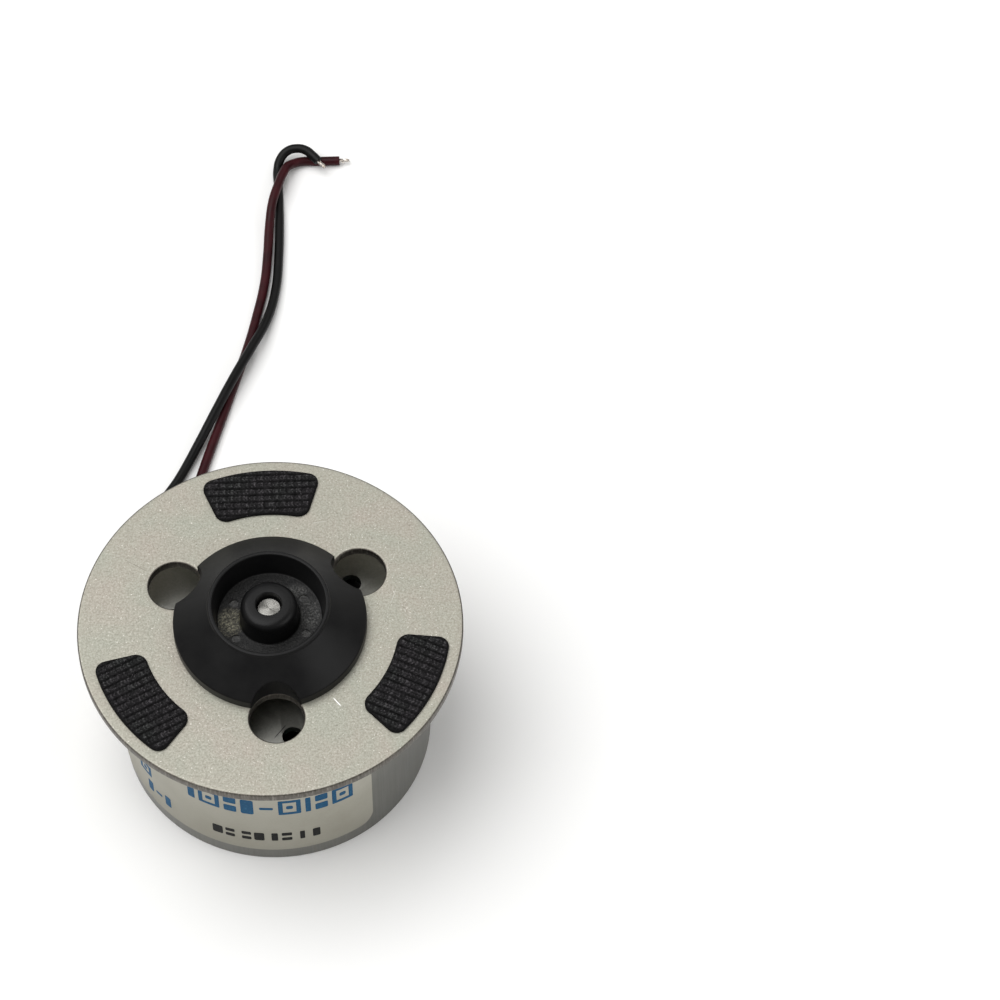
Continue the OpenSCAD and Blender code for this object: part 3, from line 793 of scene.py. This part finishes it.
def knit_height(x, y, grain):
    """Height of the cloth from its highest point, 0 or less, in millimetres."""
    inside = inside_by(x, y)
    cos, sin = math.cos(grain), math.sin(grain)
    x, y = x * cos + y * sin, y * cos - x * sin
    rib = y / RIB_PITCH
    across = abs(rib - math.floor(rib) - 0.5)
    ridge = max(math.cos(math.pi * across), 0.0) ** 0.6
    seam = 0.30 * math.exp(-((across / 0.10) ** 2))
    leg = 0.5 + 0.5 * math.cos(2 * math.pi * (2 * x / COURSE + 1.1 * across))
    course = 0.5 + 0.5 * math.cos(2 * math.pi * x / COURSE)
    stray = noise.noise((x * 2.3, y * 2.3, 0.0)) * 0.05 + noise.noise((x * 7, y * 7, 4)) * 0.045
    loop = 0.50 + 0.30 * leg + 0.20 * course
    drop = RIB_DEPTH * (1 - ridge * (1 - seam) * loop) - stray
    pressed = min(max(1 - inside / EDGE_ROLL, 0.0), 1.0) ** 2
    return -(max(drop, 0.0) * (1 - pressed) + EDGE_DROP * pressed)


# %% Knit a pad
GRID = (118, 214)
PAD_MIDDLE, PAD_REACH = (11.6, 0.0), (2.6, 4.95)
BORDER = 1.6 * 2 * PAD_REACH[1] / GRID[1]
PULLS = 2


def knitted_pad(number, angle, grain):
    bm = bmesh.new()
    bmesh.ops.create_grid(bm, x_segments=GRID[0], y_segments=GRID[1], size=1,
                          matrix=Matrix.Translation((*PAD_MIDDLE, disc_top + PAD_T))
                          @ Matrix.Diagonal((*PAD_REACH, 1, 1)))
    beyond = [v for v in bm.verts if inside_by(v.co.x, v.co.y) < -BORDER]
    bmesh.ops.delete(bm, geom=beyond, context="VERTS")
    rim = {v for v in bm.verts if inside_by(v.co.x, v.co.y) < 0}
    waste = [f for f in bm.faces if rim.issuperset(f.verts)]
    for vert in rim:
        for _ in range(PULLS):
            short = -inside_by(vert.co.x, vert.co.y)
            vert.co.x, vert.co.y = on_the_outline(vert.co.x, vert.co.y, short)
    bmesh.ops.delete(bm, geom=waste, context="FACES")
    depth = bm.verts.layers.float.new("knit_depth")
    for vert in bm.verts:
        height = knit_height(vert.co.x, vert.co.y, math.radians(grain))
        vert.co.z += height
        vert[depth] = -height / RIB_DEPTH
    for vert in new_points(bmesh.ops.extrude_edge_only(bm, edges=open_edges(bm))):
        vert.co.z = disc_top
    bmesh.ops.holes_fill(bm, edges=open_edges(bm), sides=0)
    bmesh.ops.recalc_face_normals(bm, faces=bm.faces)
    turned(bm, Matrix.Rotation(math.radians(angle), 3, "Z"))
    made = piece(f"pad_{number}", bm, "rotor", "pad_cloth", cloth,
                 replaces=(f"friction_pad_{number}",))


# %% Black knit
cloth = finish("black_knit", roughness=0.75, Specular_IOR_Level=0.14)
cloth_where = place(cloth)
knit_depth = cloth.node_tree.nodes.new("ShaderNodeAttribute")
knit_depth.attribute_name = "knit_depth"
yarn = cloud(cloth, cloth_where, 0.00011, detail=4.0, roughness=0.75)
# Painted shade: the deeper the knit, from its knit_depth attribute, the darker its colour, so the
# grooves look shaded.
shade = sums(cloth, "ADD", knit_depth.outputs["Fac"], between(cloth, yarn, 0.3, 0.7, 0.40, -0.40))
black_yarn = shades(cloth, shade, (0.02, (0.070, 0.068, 0.070)), (0.28, (0.0175, 0.0172, 0.0178)),
                    (0.60, (0.0065, 0.0063, 0.0066)), (1.0, (0.0012, 0.0012, 0.0012)))
patches = cloud(cloth, cloth_where, 0.003, detail=2.0)
black_yarn = blended(cloth, 0.6, black_yarn,
                     shades(cloth, patches, (0.4, (0.84, 0.93, 0.86)), (0.6, (1.0, 0.91, 0.98))),
                     how="MULTIPLY")
# Painted glints: pale specks on the yarn.
fibre_glint = between(cloth, cloud(cloth, cloth_where, 0.00012, detail=1.0), 0.72, 0.78, 0.0, 0.6)
black_yarn = blended(cloth, fibre_glint, black_yarn, (0.20, 0.18, 0.20))
coloured(cloth, black_yarn)
relief(cloth, yarn, 0.00003)
for number, angle, grain in ((1, 95.8, 87), (2, 215.8, -5), (3, 335.8, 0)):
    knitted_pad(number, angle, grain)

# %% [markdown]
# ## Label
# A strip of printed film, 0.1 mm thick. It starts as a flat rectangle, as on its
# roll: its corners are rounded, it is cut into narrow upright strips so that it
# can bend, and every point is wrapped round the case's radius. The print is made
# the same way, as thin patches just above the film. The marks are plain bars,
# frames and dots that mean nothing.

# %% Wrap a flat shape round the case
CASE_R = 12.2
LABEL_T = 0.1
LABEL_FROM, LABEL_TO, LABEL_CORNER = -188.0, -50.0, 1.3
STRIP = 0.35
label_low, label_high = (corner.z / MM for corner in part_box("label"))


def flat_patch(bm, left, low, right, high, rounding):
    """A rounded rectangle, left to right along the case and low to high."""
    points = [bm.verts.new(p) for p in
              ((left, 0, low), (right, 0, low), (right, 0, high), (left, 0, high))]
    bmesh.ops.contextual_create(bm, geom=points)
    if rounding > 0:
        rounded(bm, points, rounding)


def wrapped(bm, inner, thickness):
    """Cuts a flat shape into strips, wraps it at the inner radius and thickens it."""
    low = min(v.co.x for v in bm.verts)
    high = max(v.co.x for v in bm.verts)
    cuts = math.ceil((high - low) / STRIP)
    for k in range(1, cuts):
        bmesh.ops.bisect_plane(bm, geom=bm.verts[:] + bm.edges[:] + bm.faces[:],
                               plane_co=(low + (high - low) * k / cuts, 0, 0),
                               plane_no=(1, 0, 0))
    grown = bmesh.ops.extrude_face_region(bm, geom=bm.faces[:], use_keep_orig=True)
    bmesh.ops.translate(bm, verts=new_points(grown), vec=(0, thickness, 0))
    for vert in bm.verts:
        angle = vert.co.x / CASE_R
        reach = inner + vert.co.y
        vert.co.x, vert.co.y = reach * math.cos(angle), reach * math.sin(angle)
    return tidied(bm)


def along_case(angle):
    """Distance along the case's side for an angle in degrees."""
    return math.radians(angle) * CASE_R


film_sheet = bmesh.new()
flat_patch(film_sheet, along_case(LABEL_FROM), label_low, along_case(LABEL_TO), label_high,
           LABEL_CORNER)
film_sheet = wrapped(film_sheet, CASE_R, LABEL_T)
print("label", round(along_case(LABEL_TO) - along_case(LABEL_FROM), 1), "mm long when flat")

# %% [markdown]
# The film is matt and slightly yellow, with a fine fibre, and it is painted darker
# low down, as painted shade near the floor. The ink is a little uneven, as stamped ink is.

# %% Paper of the label
film = finish("label_film", Specular_IOR_Level=0.45)
film_where = place(film)
film_tone = cloud(film, film_where, 0.0035, detail=3.0)
film_fibre = cloud(film, place(film, stretch=(1, 1, 0.5)), 0.00025, detail=4.0)
paper = shades(film, film_tone, (0.3, (0.40, 0.38, 0.315)), (0.7, (0.47, 0.45, 0.385)))
paper = blended(film, 0.12, paper, shades(
    film, film_fibre, (0.35, (0.30, 0.28, 0.24)), (0.65, (0.60, 0.59, 0.54))))
film_height = film.node_tree.nodes.new("ShaderNodeSeparateXYZ")
wire_up(film, film_where, film_height.inputs[0])
# Painted shade: the film darkens towards its lower edge.
low_shade = shades(film, between(film, film_height.outputs["Z"], 0.002, 0.010),
                 (0.0, (0.66, 0.66, 0.63)), (1.0, (0.92, 0.93, 0.915)))
coloured(film, blended(film, 1.0, paper, low_shade, how="MULTIPLY"))
roughened(film, film_fibre, 0.38, 0.52)
relief(film, film_fibre, 0.000004)
piece("label_film", film_sheet, "stator", "label_paper", film, replaces=("label",))


# %% Ink
def ink(name, dark, light):
    made = finish(name, roughness=0.5, Specular_IOR_Level=0.12)
    where = place(made)
    coverage = cloud(made, where, 0.00018, detail=4.0, roughness=0.65)
    tinted(made, coverage, (0.30, light), (0.48, dark))
    relief(made, coverage, 0.000003)
    return made


blue_ink = ink("blue_ink", (0.004, 0.075, 0.175), (0.02, 0.125, 0.24))
black_ink = ink("black_ink", (0.002, 0.002, 0.002), (0.012, 0.012, 0.012))
print("inks:", blue_ink.name, black_ink.name)


# %% Marks, each drawn in a box with its left and low edges given
def frame_mark(bm, left, low, width, height, line):
    """A hollow rounded frame, from four bars."""
    flat_patch(bm, left, low, left + width, low + line, line * 0.3)
    flat_patch(bm, left, low + height - line, left + width, low + height, line * 0.3)
    flat_patch(bm, left, low + line, left + line, low + height - line, 0)
    flat_patch(bm, left + width - line, low + line, left + width, low + height - line, 0)


def bar_mark(bm, left, low, width, height, line):
    flat_patch(bm, left, low, left + width, low + height, min(width, height) * 0.2)


def twin_mark(bm, left, low, width, height, line):
    """Two blocks, one above the other."""
    deep = (height - line) / 2
    flat_patch(bm, left, low, left + width, low + deep, line * 0.4)
    flat_patch(bm, left, low + height - deep, left + width, low + height, line * 0.4)


def dash_mark(bm, left, low, width, height, line):
    middle = low + height * 0.38
    flat_patch(bm, left, middle, left + width, middle + line, line * 0.3)


def target_mark(bm, left, low, width, height, line):
    """A hollow frame with a dot in it."""
    frame_mark(bm, left, low, width, height, line)
    dot = (width - 3.4 * line) / 2
    flat_patch(bm, left + width / 2 - dot, low + height / 2 - dot,
               left + width / 2 + dot, low + height / 2 + dot, dot * 0.6)


# %% Print the label
INK_SUNK, INK_T = 0.004, 0.012


def print_row(name, ink_finish, start, low, height, line, marks):
    """Prints a row of marks, each a kind, a width and the gap after it."""
    bm = bmesh.new()
    left = along_case(start)
    for kind, width, gap in marks:
        kind(bm, left, low, width, height, line)
        left += width + gap
    bm = wrapped(bm, CASE_R + LABEL_T - INK_SUNK, INK_T)
    piece(name, bm, "stator", "label_paper", ink_finish)


print_row("print_blue", blue_ink, -120.5, 7.45, 2.25, 0.36, [
    (bar_mark, 0.60, 0.35), (target_mark, 1.75, 0.35), (twin_mark, 1.00, 0.35),
    (bar_mark, 1.00, 0.45), (dash_mark, 1.05, 0.40), (target_mark, 1.75, 0.35),
    (bar_mark, 0.42, 0.35), (twin_mark, 1.00, 0.35), (target_mark, 1.75, 0.0)])
print_row("print_side", blue_ink, -146.5, 5.2, 1.5, 0.32, [(target_mark, 1.5, 0.0)])
print_row("print_side_low", blue_ink, -142.0, 2.9, 1.5, 0.32, [
    (bar_mark, 0.6, 0.35), (dash_mark, 0.7, 0.35), (bar_mark, 0.6, 0.0)])
print_row("print_black", black_ink, -111.5, 3.15, 1.25, 0.30, [
    (bar_mark, 0.85, 0.22), (twin_mark, 0.75, 0.55), (twin_mark, 0.75, 0.22),
    (bar_mark, 0.80, 0.55), (bar_mark, 0.50, 0.30), (twin_mark, 0.80, 0.62),
    (bar_mark, 0.38, 0.62), (bar_mark, 0.60, 0.0)])

# %% [markdown]
# ## Case
# The case is drawn from steel sheet and nickel plated: a rounded upper edge,
# a flat face with three screw holes, and a short neck round the bearing. It is
# spun from its section like the hub. Its lower rim is crimped over the end cap
# in three places and notched where the leads come out, so the notch is carved
# and the crimps are added. Plating is nearly smooth, with soft clouds, fine
# drawing lines up the side, specks, and one dark scuff by a screw hole.

# %% Plated steel
plated = finish("plated_steel", metallic=0.95)
plate_where = place(plated)
plate_tone = cloud(plated, plate_where, 0.0045, detail=4.0, roughness=0.6, distortion=0.4)
plate_lines = cloud(plated, place(plated, stretch=(0.3, 0.3, 9)), 0.0006, detail=4.0)
plate_metal = shades(plated, plate_tone, (0.3, (0.138, 0.138, 0.126)),
                     (0.7, (0.212, 0.212, 0.194)))
plate_metal = blended(plated, 0.10, plate_metal, shades(
    plated, plate_lines, (0.35, (0.12, 0.118, 0.105)), (0.65, (0.34, 0.335, 0.31))))
scuff = stroke(plated, (0.93 * MM, -7.6 * MM, 0), math.radians(54), 1.6 * MM, 0.09 * MM)
plate_metal = blended(plated, scuff, plate_metal, (0.03, 0.03, 0.03))
plate_speck = between(plated, cloud(plated, plate_where, 0.0002, detail=1.0), 0.72, 0.76, 0.0, 0.6)
coloured(plated, blended(plated, plate_speck, plate_metal, (0.14, 0.13, 0.11)))
roughened(plated, plate_tone, 0.32, 0.46)
relief(plated, plate_lines, 0.0000012)

# %% Draw the case
case_low, case_high = (corner.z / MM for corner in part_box("motor_can"))
CASE_WALL, CASE_CORNER = 0.7, 0.8
NECK_H, NECK_R, BEARING_R = 1.2, 3.1, 2.3
face_z = case_high - NECK_H
inner_r = CASE_R - CASE_WALL
case = revolved([
    (inner_r, case_low, 0.1),
    (CASE_R, case_low, 0.12),
    (CASE_R, face_z, CASE_CORNER),
    (NECK_R, face_z, 0.15),
    (NECK_R, case_high, 0.22),
    (BEARING_R, case_high, 0.08),
    (BEARING_R, face_z - CASE_WALL),
    (inner_r, face_z - CASE_WALL, 0.3),
], steps=240)

# %% Screw holes and notch
MOUNT_REACH, MOUNT_D, MOUNT_ANGLE = 8.2, 1.6, 43.5
NOTCH_ANGLE, NOTCH_W, NOTCH_H = 125, 7.0, 2.3
SPARE = 2.0
tools = [post(*round_the_shaft(MOUNT_REACH, MOUNT_ANGLE + 120 * i), face_z - SPARE,
              face_z + SPARE, MOUNT_D, segments=64) for i in range(3)]
tools.append(block((inner_r - SPARE, -NOTCH_W / 2, case_low - SPARE),
                   (CASE_R + SPARE, NOTCH_W / 2, NOTCH_H), math.radians(NOTCH_ANGLE)))
case = carved(case, *tools)

# %% Crimps
CRIMP_SPAN, CRIMP_REACH, CRIMP_T, CRIMP_ROOT = 14, 0.8, 0.5, 0.3
crimp_in, crimp_out = inner_r - CRIMP_REACH, inner_r + CRIMP_ROOT
crimps = []
for i in range(3):
    lip = bmesh.new()
    section(lip, [(crimp_in, case_low), (crimp_out, case_low),
                  (crimp_out, case_low + CRIMP_T), (crimp_in, case_low + CRIMP_T)])
    spun(lip, lip.verts[:] + lip.edges[:], math.radians(CRIMP_SPAN), 8)
    bmesh.ops.holes_fill(lip, edges=open_edges(lip), sides=0)
    bmesh.ops.recalc_face_normals(lip, faces=lip.faces)
    start = math.radians(NOTCH_ANGLE + 60 + 120 * i - CRIMP_SPAN / 2)
    turned(lip, Matrix.Rotation(start, 3, "Z"))
    crimps.append(lip)
case = carved(case, *crimps, how="UNION")
piece("case", case, "stator", "case_steel", plated, replaces=("motor_can",))

# %% [markdown]
# ## Finishes of the pieces that keep their CAD shape
# Bearings, brushes, magnet, core and end cap keep their CAD shape and get a finish
# each. Most vary from dark to light in clouds of a natural size, with a fine
# relief, so one recipe makes them, and what differs is in a table.


# %% Clouded finish
def clouded(name, dark, light, size, height, rough, metallic=0.0, stretch=(1, 1, 1),
            **sockets):
    """Clouds from dark to light; size and height of relief are in micrometres."""
    made = finish(name, metallic=metallic, **sockets)
    where = place(made, stretch=stretch)
    tone = cloud(made, where, size / 1e6, detail=5.0, roughness=0.62)
    wide = cloud(made, where, size / 1e6 * 9, detail=2.0)
    colour = shades(made, tone, (0.32, dark), (0.68, light))
    coloured(made, blended(made, 0.25, colour, shades(
        made, wide, (0.3, dark), (0.7, light))))
    roughened(made, tone, rough[1], rough[0])
    relief(made, tone, height / 1e6)
    return made


DRAWN, ROLLED, PLAIN, PRESSED = (3, 3, 0.4), (2, 2, 0.5), (1, 1, 1), (1, 1, 0.3)
RECIPES = [  # slot, dark, light, cloud and relief in micrometres, roughness, metallic, stretch
    ("ferrite", (0.035, 0.034, 0.034), (0.075, 0.072, 0.07),
     90, 12, (0.55, 0.75), 0, PLAIN),
    ("bearing_bronze", (0.30, 0.17, 0.07), (0.62, 0.42, 0.22),
     100, 15, (0.35, 0.6), 0.9, PLAIN),
    ("cap_plastic", (0.011, 0.011, 0.012), (0.030, 0.029, 0.028),
     300, 10, (0.40, 0.58), 0, PLAIN),
    ("spring_bronze", (0.55, 0.33, 0.15), (0.78, 0.55, 0.30),
     250, 3, (0.22, 0.36), 1, DRAWN),
    ("damper_rubber", (0.012, 0.012, 0.012), (0.03, 0.03, 0.03),
     120, 12, (0.7, 0.9), 0, PLAIN),
    ("terminal_brass", (0.55, 0.42, 0.18), (0.80, 0.66, 0.34),
     300, 4, (0.24, 0.42), 1, ROLLED),
    ("solder", (0.48, 0.48, 0.49), (0.80, 0.80, 0.81),
     220, 12, (0.18, 0.42), 1, PLAIN),
    ("black_fibre", (0.014, 0.013, 0.012), (0.045, 0.042, 0.038),
     120, 10, (0.6, 0.8), 0, PRESSED),
    ("insulator_sheet", (0.012, 0.035, 0.024), (0.025, 0.065, 0.045),
     180, 6, (0.4, 0.55), 0, PLAIN),
    ("brown_resin", (0.075, 0.028, 0.012), (0.15, 0.06, 0.026),
     250, 8, (0.3, 0.5), 0, PLAIN),
    ("bare_copper", (0.62, 0.27, 0.14), (0.88, 0.47, 0.29),
     200, 3, (0.2, 0.4), 1, DRAWN),
    ("varistor_ceramic", (0.10, 0.11, 0.12), (0.19, 0.20, 0.21),
     80, 8, (0.5, 0.7), 0, PLAIN),
    ("core_steel", (0.16, 0.16, 0.17), (0.30, 0.30, 0.31),
     300, 4, (0.35, 0.55), 0.9, PLAIN),
]
FINISHES = {"bright_steel": ground, "tinned_copper": tinned, "case_steel": plated}
for slot, *recipe in RECIPES:
    FINISHES[slot] = clouded(slot, *recipe)
FINISHES["pale_nylon"] = clouded(
    "pale_nylon", (0.58, 0.56, 0.47), (0.74, 0.72, 0.64), 400, 4, (0.36, 0.5),
    Subsurface_Weight=0.1, Subsurface_Scale=0.0005)
print(len(FINISHES), "finishes")

# %% [markdown]
# The coils are wound from enamelled wire 0.13 mm thick, which shows as close
# parallel turns. Modelling each turn on a hidden coil would cost a million faces,
# so its finish carries them: bands across the height, with some wander.

# %% Enamelled wire
WIRE_D = 0.00013
enamel = finish("enamelled_wire", roughness=0.3, metallic=0.7, Coat_Weight=0.4)
turns = enamel.node_tree.nodes.new("ShaderNodeTexWave")
turns.bands_direction = "Z"
turns.inputs["Scale"].default_value = 1 / (WIRE_D * 20) * 2 * math.pi
turns.inputs["Distortion"].default_value = 0.6
turns.inputs["Detail Scale"].default_value = 1.0
wire_up(enamel, place(enamel), turns.inputs["Vector"])
tinted(enamel, turns.outputs["Fac"], (0.1, (0.16, 0.035, 0.012)),
       (0.9, (0.62, 0.22, 0.075)))
relief(enamel, turns.outputs["Fac"], 0.00005)
FINISHES["enamelled_copper"] = enamel

# %% Give every kept node its finish
kept = 0
for name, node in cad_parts.items():
    if node.hide_render:
        continue
    wanted = node.material_slots[0].material.name.split(".")[0]
    for holder in node.material_slots:
        holder.material = FINISHES[wanted]
    kept += 1
print(kept, "CAD nodes keep their shape and have a finish")

# %% [markdown]
# ## Floor and light
# A plain pale floor and soft light from all round show a small part well. A wide
# lamp overhead makes the broad sheen on the black hub, two smaller ones behind and
# at the right lift the case out of its own shadow, and the world fills the rest.

# %% Floor
floor_mesh = bmesh.new()
bmesh.ops.create_grid(floor_mesh, x_segments=1, y_segments=1, size=1.5)
floor_data = bpy.data.meshes.new("floor")
floor_mesh.to_mesh(floor_data)
floor_mesh.free()
floor = bpy.data.objects.new("floor", floor_data)
scene.collection.objects.link(floor)
paint = finish("floor_paint", roughness=0.9, Specular_IOR_Level=0.1)
tinted(paint, cloud(paint, place(paint), 0.02, detail=3.0),
       (0.3, (0.945, 0.945, 0.94)), (0.7, (0.955, 0.955, 0.95)))
floor_data.materials.append(paint)


# %% Lamps and world
LAMP_AIM = Vector((0, 0, 0.01))


def lamp(name, where, size, power):
    data = bpy.data.lights.new(name, "AREA")
    data.shape = "RECTANGLE"
    data.size, data.size_y = size
    data.energy = power
    made = bpy.data.objects.new(name, data)
    made.location = where
    made.rotation_euler = (LAMP_AIM - Vector(where)).to_track_quat("-Z", "Y").to_euler()
    scene.collection.objects.link(made)


lamp("softbox", (-0.34, 0.02, 0.84), (1.1, 0.9), 9.0)
lamp("back_fill", (0.35, 0.60, 0.55), (0.6, 0.4), 0.8)
lamp("right_fill", (0.55, -0.20, 0.36), (0.5, 0.4), 1.0)
world = bpy.data.worlds.new("studio")
world.use_nodes = True
backdrop = world.node_tree.nodes["Background"]
backdrop.inputs["Color"].default_value = (1.0, 0.99, 0.97, 1)
backdrop.inputs["Strength"].default_value = 0.30
scene.world = world
scene.view_settings.view_transform = "Standard"
print("floor, lamps and world set")
